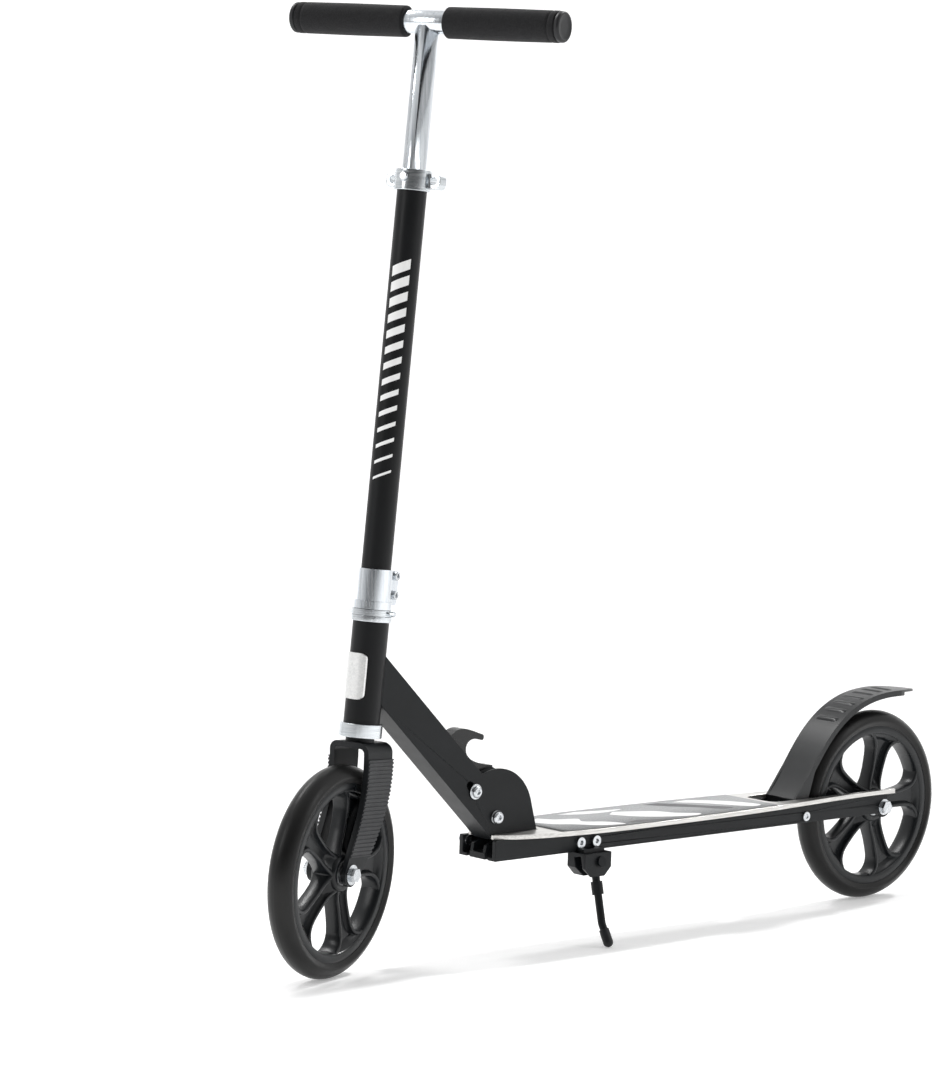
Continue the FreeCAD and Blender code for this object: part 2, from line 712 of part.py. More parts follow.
def cheek_edges():
    """Side of the stem: cheeks round the pivot and the tube up to the head."""
    far = 230.0
    toe_t = (stem_toe_z + stem_half_h * math.cos(slope)) / math.sin(slope)
    shoulder_t = math.sqrt(cheek_r ** 2 - stem_half_h ** 2)
    start_deg = stem_slope_deg + math.degrees(math.asin(stem_half_h / cheek_r))
    shoulder = along_stem(shoulder_t, stem_half_h)
    crest = polar(cheek_r, (start_deg + cheek_end_deg) / 2, pivot)
    back = polar(cheek_r, cheek_end_deg, pivot)
    heel = from_pivot(cheek_heel)
    toe = along_stem(toe_t, -stem_half_h)
    top, bottom = along_stem(far, stem_half_h), along_stem(far, -stem_half_h)
    return [line(lift(top), lift(shoulder)), arc(lift(shoulder), lift(crest), lift(back)),
            line(lift(back), lift(heel)),
            line(lift(heel), lift(toe)), line(lift(toe), lift(bottom)), line(lift(bottom), lift(top))]


def pin_slot():
    a, b = along_stem(pin_t), along_stem(pin_t + pin_travel)
    radius = pin_r + slot_gap
    ends = fuse(*(rod(radius, (x, -40, z), (x, 40, z)) for x, z in (a, b)))
    side = ((pin_t, -radius), (pin_t + pin_travel, -radius), (pin_t + pin_travel, radius), (pin_t, radius))
    return fuse(ends, polygon_slab([along_stem(*p) for p in side], -40, 40))


def stem_plate(t0, t1, n0, n1, half):
    corners = ((t0, n0), (t1, n0), (t1, n1), (t0, n1))
    return polygon_slab([along_stem(*c) for c in corners], -half, half)


def down_tube():
    side = slab(cheek_edges(), stem_half_w - sheet_t, stem_half_w)
    far = 230.0
    inner_n = stem_half_h - stem_wall_t
    front = stem_plate(-40, far, -stem_half_h, -inner_n, stem_half_w)
    front = front.cut(box(0, 900, -50, 50, 0, pivot[1] + stem_toe_z))
    rear = stem_plate(rear_wall_start_t, far, inner_n, stem_half_h, stem_half_w)
    stop = stem_plate(spring_stop_t - spring_stop_w, spring_stop_t, -inner_n, inner_n, stem_half_w - sheet_t)
    tube = fuse(side, mirrored(side), front, rear, stop)
    beyond = head_place(box(0, 400, -60, 60, -200, 600))
    tube = tube.cut(beyond).cut(head_place(rod(head_r, (0, 0, -200), (0, 0, 600))))
    tube = tube.cut(pin_slot())
    return tube.cut(rod(axle_r + running, (pivot[0], -40, pivot[1]), (pivot[0], 40, pivot[1])))


def lever():
    back = [lift(from_pivot(p)) for p in lever_back]
    throat = [lift(from_pivot(p)) for p in lever_throat]
    tip = lift(from_pivot(lever_tip))
    rim_r = cheek_r + 0.5
    tail, middle, inner = (lift(polar(rim_r, degrees, pivot)) for degrees in (90, 78, 66))
    root_low = lift(along_stem(lever_root[0], lever_root_n))
    root_high = lift(along_stem(lever_root[1], lever_root_n))
    handle = slab([curve(back), arc(back[-1], tip, throat[0]), curve(throat), line(throat[-1], tail),
                   arc(tail, middle, inner), line(inner, root_low), line(root_low, root_high),
                   line(root_high, back[0])], -lever_half, lever_half)
    core = stem_plate(pin_t, lever_root[1] + 2, -8, 12, lever_half)
    centre = along_stem(pin_t)
    eye = rod(8.0, (centre[0], -lever_half, centre[1]), (centre[0], lever_half, centre[1]))
    body = fuse(handle, core, eye)
    body = body.cut(stem_rod(spring_bore_r, spring_pocket_t, lever_root[1] + 6, spring_n))
    return body.cut(rod(pin_r, (centre[0], -40, centre[1]), (centre[0], 40, centre[1])))


def lock_pin():
    x, z = along_stem(pin_t)
    face = stem_half_w + gap
    seat = face + pin_washer_t
    washer = rod(pin_washer_r, (x, face, z), (x, seat, z))
    head = button_head(pin_head_r, (x, seat, z), (x, pin_half, z), pivot_socket_r)
    shank = rod(pin_r, (x, -seat, z), (x, seat, z))
    return fuse(shank, washer, head, mirrored(washer), mirrored(head))


def latch_spring():
    low = spring_pocket_t + pin_travel + spring_wire_r + gap
    high = spring_stop_t - spring_stop_w - spring_wire_r - running
    body = coil(spring_r, spring_wire_r, spring_turns, high - low)
    start = along_stem(low, spring_n)
    way = FreeCAD.Rotation(V(0, 1, 0), 90 - stem_slope_deg)
    body.Placement = FreeCAD.Placement(V(start[0], 0, start[1]), way)
    return body


def head_tube():
    return pipe(head_r, head_bore_r, (0, 0, head_low), (0, 0, head_high))


def headset_cups():
    lower = pipe(ring_r, head_bore_r, (0, 0, lower_ring_low), (0, 0, head_low))
    seat_top = lower_ring_low + bearing_seat_h
    lower = lower.cut(rod(bearing_seat_r + running, (0, 0, 0), (0, 0, seat_top)))
    upper = pipe(ring_r - 1, head_bore_r, (0, 0, head_high), (0, 0, upper_ring_high))
    seat_r = upper_bearing_r + running
    upper = upper.cut(rod(seat_r, (0, 0, head_high + cup_lip), (0, 0, upper_ring_high + 1)))
    return Part.makeCompound([lower, upper])


def headset_bearings():
    lower_top = lower_ring_low + bearing_seat_h - gap
    lower = pipe(bearing_seat_r, steerer_r, (0, 0, lower_ring_low + gap), (0, 0, lower_top))
    low, high = head_high + cup_lip + gap, upper_ring_high + gap
    upper = pipe(upper_bearing_r, steerer_r, (0, 0, low), (0, 0, high))
    return Part.makeCompound([lower, upper])


def head_badge():
    low, high = badge_s
    skin = pipe(head_r + badge_t, head_r, (0, 0, low), (0, 0, high))
    tag = box(0, 40, -badge_half, badge_half, low, high)
    tag = tag.makeFillet(5.0, [e for e in tag.Edges if e.BoundBox.XLength > 30])
    return skin.common(tag)


# ---- fork and column, in the head frame ------------------------------------------------------
def fork_side(low, high, grow=0.0):
    rear = curve([(u - grow, 0, s) for u, s in fork_rear])
    front = curve([(u + grow, 0, s) for u, s in fork_front])
    rear_end, front_end = fork_rear[-1], fork_front[-1]
    centre = (wheel_u, wheel_s)
    bottom = lift(polar(fork_lobe_r, -90, centre))
    rear_touch = lift(polar(fork_lobe_r, 197, centre))
    front_touch = lift(polar(fork_lobe_r, 25, centre))
    edges = [rear, line(lift(rear_end), rear_touch), arc(rear_touch, bottom, front_touch),
             line(front_touch, lift(front_end)), front, line(lift(fork_front[0]), lift(fork_rear[0]))]
    return slab(Part.__sortEdges__(edges), low, high)


def fork():
    reach = 60.0
    outer = box(-reach, reach, -fork_out, fork_out, -reach, crown_top)
    shoulders = [e for e in outer.Edges if e.BoundBox.XLength > reach and e.BoundBox.ZMin > crown_top - 1]
    outer = outer.makeFillet(crown_corner_r, shoulders)
    inner = box(-reach, reach, -fork_inner, fork_inner, -reach, crown_under)
    corners = [e for e in inner.Edges if e.BoundBox.XLength > reach and e.BoundBox.ZMin > crown_under - 1]
    inner = inner.makeFillet(crown_corner_r - fork_t, corners)
    body = outer.cut(inner).common(fork_side(-fork_out, fork_out))
    body = fuse(body, rod(neck_r, (0, 0, crown_top - 1), (0, 0, lower_ring_low - 0.6)))
    return body.cut(rod(axle_r + running, (wheel_u, -reach, wheel_s), (wheel_u, reach, wheel_s)))


def fork_cover():
    """Ribbed plate on the left leg."""
    plate = fork_side(fork_out, fork_out + cover_t)
    plate = plate.common(box(-60, 60, 0, 60, cover_low, cover_high - crown_corner_r))
    pitch = (cover_high - crown_corner_r - cover_low) / cover_grooves
    face = fork_out + cover_t - cover_groove_depth
    for k in range(cover_grooves):
        s = cover_low + (k + 0.5) * pitch
        groove = box(-60, 60, face, 60, s - cover_groove_h / 2, s + cover_groove_h / 2)
        plate = plate.cut(groove)
    return plate


def steerer_tube():
    return pipe(steerer_r, steerer_bore_r, (0, 0, lower_ring_low - 0.6), (0, 0, steerer_top))


def upper_cone():
    ring = pipe(ring_r - 1, steerer_r, (0, 0, upper_ring_high + gap), (0, 0, cone_high))
    height = (upper_ring_high + gap + cone_high) / 2
    lug = rod(2.6, (0, -ring_r - 4.5, height), (0, ring_r + 4.5, height))
    lug = lug.cut(rod(ring_r - 3, (0, 0, 0), (0, 0, 400)))
    return fuse(ring, lug)


def lower_clamp():
    body = rod(clamp_r, (0, 0, clamp_low), (0, 0, clamp_high))
    flange = rod(clamp_flange_r, (0, 0, clamp_low), (0, 0, clamp_low + clamp_flange_h))
    u0, u1, half = clamp_ear
    ear = box(u0, u1, -half, half, clamp_low + 4, clamp_high - 1)
    outer = [e for e in ear.Edges if e.BoundBox.YLength > half and e.BoundBox.XMin < u0 + 0.1]
    ear = ear.makeFillet(3.0, outer)
    body = fuse(body, flange, ear)
    body = body.cut(rod(outer_tube_r, (0, 0, 0), (0, 0, 400)))
    body = body.cut(box(u0 - 5, 0, -clamp_slit_half, clamp_slit_half, 0, 400))
    for s in clamp_bolt_s:
        body = body.cut(rod(clamp_bolt_r, (clamp_bolt_u, -40, s), (clamp_bolt_u, 40, s)))
    return body


def clamp_bolts():
    solids = []
    half = clamp_ear[2]
    for s in clamp_bolt_s:
        shank = rod(clamp_bolt_r, (clamp_bolt_u, -half - 2.5, s), (clamp_bolt_u, half + 1, s))
        head = rod(clamp_bolt_head_r, (clamp_bolt_u, half, s), (clamp_bolt_u, half + clamp_bolt_head_t, s))
        head = head.cut(hexagon(2.2, (clamp_bolt_u, half + 1.5, s), (clamp_bolt_u, half + 6, s)))
        nut = hexagon(4.4, (clamp_bolt_u, -half - 2.5, s), (clamp_bolt_u, -half, s))
        solids.append(fuse(shank, head, nut))
    return Part.makeCompound(solids)


def outer_tube():
    tube = pipe(outer_tube_r, bar_r + gap, (0, 0, outer_tube_low), (0, 0, outer_tube_top))
    return tube.cut(rod(steerer_r, (0, 0, 0), (0, 0, steerer_top)))


def upper_collar():
    body = rod(collar_r, (0, 0, collar_low), (0, 0, collar_high))
    u0, u1, half = collar_ear
    middle = (collar_low + collar_high) / 2
    ear = box(u0, u1, -half, half, middle - collar_ear_h / 2, middle + collar_ear_h / 2)
    ear = ear.makeFillet(5.0, [e for e in ear.Edges if e.BoundBox.XLength > 5 and e.BoundBox.YLength < 1
                               and e.BoundBox.ZLength < 1])
    body = fuse(body, ear)
    body = body.cut(rod(outer_tube_r, (0, 0, 0), (0, 0, outer_tube_top)))
    body = body.cut(rod(bar_r + running, (0, 0, 0), (0, 0, 900)))
    for side in (-1, 1):
        body = body.cut(rod(eye_r, (-60, side * eye_v, middle), (60, side * eye_v, middle)))
    return body.cut(rod(button_r + running, (0, 0, button_s), (60, 0, button_s)))


button_s = outer_tube_top + button_r + 1.5


def height_button():
    inner = bar_r + gap + button_travel + 0.1
    cap = rod(button_r, (inner, 0, button_s), (button_out, 0, button_s))
    edge = [e for e in cap.Edges if e.BoundBox.XMin > button_out - 0.01]
    return cap.makeFillet(1.2, edge)


def inner_tube():
    tube = pipe(bar_r, bar_r - bar_wall, (0, 0, inner_tube_low), (0, 0, bar_height_s - saddle_trim))
    return tube.cut(rod(bar_r, (0, -60, bar_height_s), (0, 60, bar_height_s)))


def cross_bar():
    return pipe(bar_r, bar_r - bar_wall, (0, -grip_out, bar_height_s), (0, grip_out, bar_height_s))


def grip():
    sleeve = pipe(grip_r, bar_r, (0, grip_in, bar_height_s), (0, grip_out, bar_height_s))
    low, high = grip_out - 8.5, grip_out - 6.5
    groove = pipe(grip_r + 1, grip_r - 1.0, (0, low, bar_height_s), (0, high, bar_height_s))
    return sleeve.cut(groove)


def grip_cap():
    disc = rod(grip_r - 0.6, (0, grip_out, bar_height_s), (0, bar_half, bar_height_s))
    edge = [e for e in disc.Edges if e.BoundBox.YMin > bar_half - 0.01]
    disc = disc.makeFillet(2.0, edge)
    plug = rod(bar_r - bar_wall, (0, grip_out - 12, bar_height_s), (0, grip_out + 1, bar_height_s))
    return fuse(disc, plug)


# ---- placing and writing ---------------------------------------------------------------------
LEAN = FreeCAD.Placement(V(0, 0, 0), FreeCAD.Rotation(V(1, 0, 0), -lean_deg))
STEER = FreeCAD.Placement(V(0, 0, 0), FreeCAD.Rotation(V(0, 0, 1), steer_rest_deg))


def moved(shape, x, y, z):
    copy = shape.copy()
    copy.translate(V(x, y, z))
    return copy


def moved_by(shape, placement):
    copy = shape.copy()
    copy.Placement = placement.multiply(copy.Placement)
    return copy


def deck_pieces():
    rail = left_rail()
    rear_bolt = moved(axle_bolt(rail_out, rear_washer_r), 0, 0, wheel_r)
    return {
        "deck_board": deck_board(),
        "grip_tape": grip_tape(),
        "left_rail": stand_openings(rail),
        "right_rail": nose_opening(mirrored(rail)),
        "floor_plate": floor_plate(),
        "fold_bracket": fold_bracket(),
        "pivot_bolt": pivot_bolt(),
        "nose_bolt": nose_bolt_piece(),
        "stand_bracket": stand_bracket(),
        "stand_bolts": stand_bolts(),
        "stand_pin": stand_pin(),
        "stand_leg": stand_leg(),
        "stand_foot": stand_foot(),
        "brake_pin": brake_pin_piece(),
        "brake_spring": brake_spring(),
        "rear_axle": rear_bolt,
        "rear_spacers": moved(both(wheel_spacer(rail_in)), 0, 0, wheel_r),
        "rear_guard": rear_guard(),
        "rear_tyre": moved(tyre(), 0, 0, wheel_r),
        "rear_rim": moved(rim(), 0, 0, wheel_r),
        "rear_bearings": moved(both(wheel_bearing()), 0, 0, wheel_r),
    }


def stem_pieces():
    return {
        "down_tube": down_tube(),
        "head_tube": head_place(head_tube()),
        "head_badge": head_place(head_badge()),
        "headset_cups": head_place(headset_cups()),
        "latch_spring": latch_spring(),
        "release_lever": lever(),
        "lock_pin": lock_pin(),
    }


def steered_pieces():
    cover = fork_cover()
    return {
        "fork": fork(),
        "fork_cover_left": cover,
        "fork_cover_right": mirrored(cover),
        "steerer_tube": steerer_tube(),
        "headset_bearings": headset_bearings(),
        "upper_cone": upper_cone(),
        "lower_clamp": lower_clamp(),
        "clamp_bolts": clamp_bolts(),
        "outer_tube": outer_tube(),
        "upper_collar": upper_collar(),
        "height_button": height_button(),
        "inner_tube": inner_tube(),
        "cross_bar": cross_bar(),
        "grip_left": grip(),
        "grip_right": mirrored(grip()),
        "grip_cap_left": grip_cap(),
        "grip_cap_right": mirrored(grip_cap()),
        "front_axle": moved(axle_bolt(fork_out, front_washer_r), wheel_u, 0, wheel_s),
        "front_spacers": moved(both(wheel_spacer(fork_inner)), wheel_u, 0, wheel_s),
        "front_tyre": moved(tyre(), wheel_u, 0, wheel_s),
        "front_rim": moved(rim(), wheel_u, 0, wheel_s),
        "front_bearings": moved(both(wheel_bearing()), wheel_u, 0, wheel_s),
    }


def leaned_pieces():
    """Every piece leaned onto the stand, with the bar turned."""
    pieces = dict(deck_pieces())
    pieces.update(stem_pieces())
    for name, shape in steered_pieces().items():
        pieces[name] = head_place(moved_by(shape, STEER))
    return {name: moved_by(shape, LEAN) for name, shape in pieces.items()}


def footprint_shift(pieces):
    """Move that puts the middle of the footprint at x = y = 0 and the lowest point at z = 0."""
    boxes = [shape.optimalBoundingBox(False, False) for shape in pieces.values()]
    x = (min(b.XMin for b in boxes) + max(b.XMax for b in boxes)) / 2
    y = (min(b.YMin for b in boxes) + max(b.YMax for b in boxes)) / 2
    return V(-x, -y, -min(b.ZMin for b in boxes))


def main():
    os.makedirs("parts", exist_ok=True)
    pieces = leaned_pieces()
    shift = footprint_shift(pieces)
    for name, shape in pieces.items():
        shape.translate(shift)
        shape.exportStep("parts/" + name + ".step")


if __name__ == "__main__":
    main()
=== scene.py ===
import math

import bmesh
import bpy
from mathutils import Matrix, Vector


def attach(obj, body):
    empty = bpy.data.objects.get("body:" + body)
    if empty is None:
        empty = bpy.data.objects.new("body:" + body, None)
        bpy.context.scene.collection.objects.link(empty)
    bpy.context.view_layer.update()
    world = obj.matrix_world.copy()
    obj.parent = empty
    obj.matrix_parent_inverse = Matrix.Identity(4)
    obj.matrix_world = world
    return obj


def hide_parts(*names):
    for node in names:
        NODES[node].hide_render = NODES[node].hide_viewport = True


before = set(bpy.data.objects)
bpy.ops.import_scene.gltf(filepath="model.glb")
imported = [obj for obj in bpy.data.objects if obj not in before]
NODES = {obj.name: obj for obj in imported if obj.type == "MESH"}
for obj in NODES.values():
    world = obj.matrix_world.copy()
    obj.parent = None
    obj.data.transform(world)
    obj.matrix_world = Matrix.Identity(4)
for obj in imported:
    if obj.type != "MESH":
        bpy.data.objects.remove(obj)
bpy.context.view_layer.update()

# ---- frames: shapes are drawn in millimetres and carried to the shared frame in metres -------------
LEAN = math.radians(2.8)
RAKE = math.radians(4.84)
STEER = math.radians(18.6)
SHIFT = Vector((-370.385, -43.232, 0.441))
HEAD_X = 718.9
WHEEL_R = 100.0
BAR_HEIGHT = 787.8
SPOKES = 5
FIRST_SPOKE = math.radians(32.0)
TAPE_TOP = 118.8

MM = Matrix.Scale(0.001, 4)
DECK = MM @ Matrix.Translation(SHIFT) @ Matrix.Rotation(-LEAN, 4, "X")
STEM = DECK @ Matrix.Translation((HEAD_X, 0, WHEEL_R)) @ Matrix.Rotation(-RAKE, 4, "Y")
COLUMN = STEM @ Matrix.Rotation(STEER, 4, "Z")
REAR_WHEEL = DECK @ Matrix.Translation((0, 0, WHEEL_R))
FRONT_WHEEL = COLUMN @ Matrix.Translation((27.7, 0, -2.35))


# ---- materials ------------------------------------------------------------------------------------
class Finish:
    """A node material: principled shader, with object coordinates in metres."""

    def __init__(self, name, metallic=0.0, specular=0.5):
        self.material = bpy.data.materials.new(name)
        self.material.use_nodes = True
        self.tree = self.material.node_tree
        self.shader = self.tree.nodes["Principled BSDF"]
        self.shader.inputs["Metallic"].default_value = metallic
        self.shader.inputs["Specular IOR Level"].default_value = specular
        self.coords = self.tree.nodes.new("ShaderNodeTexCoord").outputs["Object"]

    def node(self, kind, **inputs):
        made = self.tree.nodes.new(kind)
        for key, value in inputs.items():
            socket = made.inputs[key.replace("_", " ")]
            if isinstance(value, bpy.types.NodeSocket):
                self.tree.links.new(value, socket)
            else:
                socket.default_value = value
        return made

    def mapped(self, scale, rotation=(0, 0, 0)):
        return self.node("ShaderNodeMapping", Vector=self.coords, Scale=scale, Rotation=rotation).outputs[0]

    def noise(self, scale, detail=4.0, vector=None):
        made = self.node("ShaderNodeTexNoise", Vector=vector or self.coords, Scale=scale, Detail=detail)
        return made.outputs["Fac"]

    def voronoi(self, scale, vector=None):
        made = self.node("ShaderNodeTexVoronoi", Vector=vector or self.coords, Scale=scale)
        return made.outputs["Distance"]

    def ramp(self, value, low, high, low_colour, high_colour):
        made = self.node("ShaderNodeValToRGB", Fac=value)
        first, last = made.color_ramp.elements
        first.position, last.position = low, high
        first.color, last.color = (*low_colour, 1), (*high_colour, 1)
        return made.outputs["Color"]

    def spread(self, value, low, high):
        made = self.node("ShaderNodeMapRange", Value=value, To_Min=low, To_Max=high)
        return made.outputs["Result"]

    def colour(self, socket):
        self.tree.links.new(socket, self.shader.inputs["Base Color"])

    def roughness(self, socket):
        self.tree.links.new(socket, self.shader.inputs["Roughness"])

    def bump(self, height, distance, below=None):
        made = self.node("ShaderNodeBump", Height=height, Distance=distance, Strength=1.0)
        if below is not None:
            self.tree.links.new(below, made.inputs["Normal"])
        self.tree.links.new(made.outputs["Normal"], self.shader.inputs["Normal"])
        return made.outputs["Normal"]


def paint(name, dark, light, rough, specular, peel=0.00003):
    """Powder coat: a faint mottle in the colour and a fine orange peel."""
    finish = Finish(name, specular=specular)
    cloud = finish.noise(9.0, 5.0)
    finish.colour(finish.ramp(cloud, 0.3, 0.7, dark, light))
    finish.roughness(finish.spread(finish.noise(60.0), rough - 0.05, rough + 0.07))
    finish.bump(finish.noise(1100.0, 2.0), peel)
    return finish.material


def metal(name, dark, light, rough, streak):
    """Metal with grain drawn out along one direction."""
    finish = Finish(name, metallic=1.0)
    lines = finish.noise(1.0, 6.0, finish.mapped(streak))
    finish.colour(finish.ramp(lines, 0.3, 0.7, dark, light))
    finish.roughness(finish.spread(lines, rough - 0.05, rough + 0.08))
    finish.bump(lines, 0.00001)
    return finish.material


def moulded(name, dark, light, rough, grain_scale, grain, specular):
    """Moulded plastic or rubber: spark-eroded grain and faint flow marks."""
    finish = Finish(name, specular=specular)
    finish.colour(finish.ramp(finish.noise(14.0, 6.0), 0.3, 0.75, dark, light))
    finish.roughness(finish.spread(finish.noise(85.0, 4.0), rough - 0.07, rough + 0.07))
    finish.bump(finish.noise(grain_scale, 3.0), grain)
    return finish.material


def foam(name):
    """Closed-cell foam: small open pores and a soft matt skin."""
    finish = Finish(name, specular=0.25)
    cells = finish.voronoi(1250.0)
    patches = finish.noise(140.0, 5.0)
    finish.colour(finish.ramp(cells, 0.1, 0.6, (0.004, 0.004, 0.005), (0.017, 0.017, 0.018)))
    finish.roughness(finish.spread(patches, 0.78, 0.96))
    finish.shader.inputs["Sheen Weight"].default_value = 0.06
    finish.bump(cells, 0.0002, below=finish.bump(patches, 0.0003))
    return finish.material


def grit(name, dark, light, sparkle):
    """Grit paper: packed grains, a few of which get a painted highlight, a lighter colour added as glints.
    """
    finish = Finish(name, specular=0.6)
    grains = finish.voronoi(1500.0)
    fine = finish.noise(2600.0, 2.0)
    base = finish.ramp(fine, 0.36, 0.66, dark, light)
    # painted highlight: a noise mask picks a few grains and adds a lighter colour to the base as glints
    painted_glint = finish.ramp(finish.noise(1900.0, 1.0), 0.68, 0.74, (0, 0, 0), sparkle)
    mix = finish.node("ShaderNodeMix")
    mix.data_type = "RGBA"
    mix.blend_type = "ADD"
    mix.inputs[0].default_value = 1.0
    finish.tree.links.new(base, mix.inputs[6])
    finish.tree.links.new(painted_glint, mix.inputs[7])
    finish.colour(mix.outputs[2])
    finish.roughness(finish.spread(finish.noise(400.0), 0.55, 0.85))
    finish.bump(grains, 0.0003)
    return finish.material


BLACK = paint("satin_black_paint", (0.0055, 0.0065, 0.0075), (0.010, 0.0115, 0.013), 0.40, 0.22)
GLOSS = paint("column_paint", (0.004, 0.0045, 0.005), (0.007, 0.0075, 0.0085), 0.38, 0.22, 0.00002)
EDGE = metal("sawn_edge", (0.50, 0.49, 0.47), (0.74, 0.73, 0.71), 0.34, (6, 900, 900))
POLISHED = metal("polished_tube", (0.60, 0.64, 0.68), (0.78, 0.81, 0.84), 0.18, (500, 500, 14))
TURNED = metal("turned_rings", (0.52, 0.55, 0.58), (0.76, 0.79, 0.81), 0.22, (40, 40, 1600))
CHROME = metal("bright_plating", (0.46, 0.48, 0.50), (0.70, 0.72, 0.74), 0.22, (420, 420, 420))
STEEL = metal("plain_steel", (0.32, 0.33, 0.34), (0.50, 0.51, 0.52), 0.30, (300, 900, 300))
RUBBER = moulded("tyre_rubber", (0.0045, 0.0045, 0.0045), (0.009, 0.0088, 0.0085), 0.36, 1700.0, 0.00003,
                 0.28)
CORE = moulded("wheel_core", (0.005, 0.006, 0.007), (0.010, 0.012, 0.014), 0.30, 900.0, 0.00002, 0.35)
GUARD = moulded("guard_plastic", (0.006, 0.007, 0.008), (0.012, 0.0135, 0.015), 0.33, 700.0, 0.00003, 0.38)
RIBBED = moulded("ribbed_plastic", (0.008, 0.009, 0.011), (0.016, 0.018, 0.021), 0.36, 1300.0, 0.00004, 0.4)
LEVER = moulded("lever_plastic", (0.005, 0.0055, 0.006), (0.011, 0.0115, 0.012), 0.28, 800.0, 0.00002, 0.4)
FOAM = foam("grip_foam")
CAP = moulded("cap_rubber", (0.008, 0.0085, 0.010), (0.016, 0.0165, 0.018), 0.46, 1500.0, 0.00004, 0.35)
TAPE = grit("grit_grey", (0.20, 0.205, 0.21), (0.42, 0.425, 0.43), (0.40, 0.40, 0.40))
TAPE_DARK = grit("grit_dark", (0.05, 0.052, 0.055), (0.14, 0.14, 0.145), (0.20, 0.20, 0.20))
TAPE_WHITE = grit("grit_white", (0.74, 0.74, 0.74), (0.92, 0.92, 0.92), (0.08, 0.08, 0.08))
INK = moulded("white_ink", (0.84, 0.84, 0.84), (0.92, 0.92, 0.91), 0.45, 1500.0, 0.00002, 0.4)
PLATE = metal("satin_plate", (0.72, 0.725, 0.72), (0.86, 0.86, 0.85), 0.38, (30, 700, 700))


# ---- mesh tools -----------------------------------------------------------------------------------
def piece(name, vertices, faces, matrix, body, material, stands_for=(), smooth=35.0):
    mesh = bpy.data.meshes.new(name)
    mesh.from_pydata([matrix @ Vector(v) for v in vertices], [], faces)
    tool = bmesh.new()
    tool.from_mesh(mesh)
    bmesh.ops.recalc_face_normals(tool, faces=tool.faces)
    tool.to_mesh(mesh)
    tool.free()
    mesh.shade_smooth()
    mesh.set_sharp_from_angle(angle=math.radians(smooth))
    made = bpy.data.objects.new(name, mesh)
    bpy.context.scene.collection.objects.link(made)
    mesh.materials.append(material)
    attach(made, body)
    if stands_for:
        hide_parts(*stands_for)
    return made


def grid_faces(rows, columns, close_rows, close_columns):
    faces = []
    for i in range(rows if close_rows else rows - 1):
        for j in range(columns if close_columns else columns - 1):
            a, b = i * columns + j, i * columns + (j + 1) % columns
            c, d = ((i + 1) % rows) * columns + (j + 1) % columns, ((i + 1) % rows) * columns + j
            faces.append((a, b, c, d))
    return faces


def lathe(profile, steps):
    """Closed profile of (radius, along) turned round the Y axis."""
    vertices = []
    for i in range(steps):
        turn = 2 * math.pi * i / steps
        vertices += [(r * math.cos(turn), along, r * math.sin(turn)) for r, along in profile]
    return vertices, grid_faces(steps, len(profile), True, True)


def smooth_path(points, steps):
    """Points on a smooth curve through the given ones."""
    points = [Vector(p) for p in points]
    ends = [points[0] * 2 - points[1]] + points + [points[-1] * 2 - points[-2]]
    path = []
    for i in range(1, len(ends) - 2):
        p0, p1, p2, p3 = ends[i - 1:i + 3]
        for k in range(steps):
            t = k / steps
            path.append(0.5 * ((2 * p1) + (p2 - p0) * t + (2 * p0 - 5 * p1 + 4 * p2 - p3) * t * t
                               + (3 * p1 - p0 - 3 * p2 + p3) * t * t * t))
    path.append(points[-1])
    return path


def dress(node, material, bevel):
    """Finish of a piece of the frame: its material and softly broken edges."""
    shown = NODES[node]
    shown.data.materials.clear()
    shown.data.materials.append(material)
    shown.data.shade_smooth()
    weld = shown.modifiers.new("weld", "WELD")
    weld.merge_threshold = 0.00001
    if bevel:
        edge = shown.modifiers.new("edge", "BEVEL")
        edge.width = bevel / 1000
        edge.segments = 2
        edge.limit_method = "ANGLE"
        edge.angle_limit = math.radians(38.0)
        edge.use_clamp_overlap = True
        flow = shown.modifiers.new("flow", "WEIGHTED_NORMAL")
        flow.weight = 80
        flow.keep_sharp = True


# ---- wheels ---------------------------------------------------------------------------------------
def tyre(name, matrix, body, node):
    """Round polyurethane tyre with a moulding line and a step where it meets the core."""
    section = [(84.0, -10.95), (87.2, -12.3), (87.9, -12.75), (88.9, -12.95), (90.2, -12.9)]
    round_part = []
    centre, radius = 86.55, 13.45
    for k in range(1, 40):
        angle = math.radians(-75 + 150 * k / 40)
        ridge = 0.12 * math.exp(-(angle / 0.02) ** 2) if k == 20 else 0.0
        round_part.append((centre + (radius - 0.12 + ridge) * math.cos(angle),
                           (radius - 0.12) * math.sin(angle)))
    section += round_part + [(90.2, 12.9), (88.9, 12.95), (87.9, 12.75), (87.2, 12.3), (84.0, 10.95)]
    vertices, faces = lathe(section, 160)
    return piece(name, vertices, faces, matrix, body, RUBBER, (node,), 50.0)


tyre("tyre_rear_detailed", REAR_WHEEL, "rear_wheel", "rear_tyre")
tyre("tyre_front_detailed", FRONT_WHEEL, "front_wheel", "front_tyre")


def spoke_half_width(r):
    """Half width of a spoke: a narrow waist that flares into the rim and spreads at the hub."""
    if r > 38.0:
        return 9.0 + 1.5 * min(1.0, (r - 38.0) / 20.0) + 17.0 * ((r - 38.0) / 38.5) ** 5
    return 9.0 + 1.2 * ((38.0 - r) / 22.0) ** 2


def spoke_half_depth(r):
    return 8.0 + 1.8 * max(0.0, (r - 45.0) / 31.0) ** 2 + 3.0 * max(0.0, (28.0 - r) / 14.0) ** 1.5


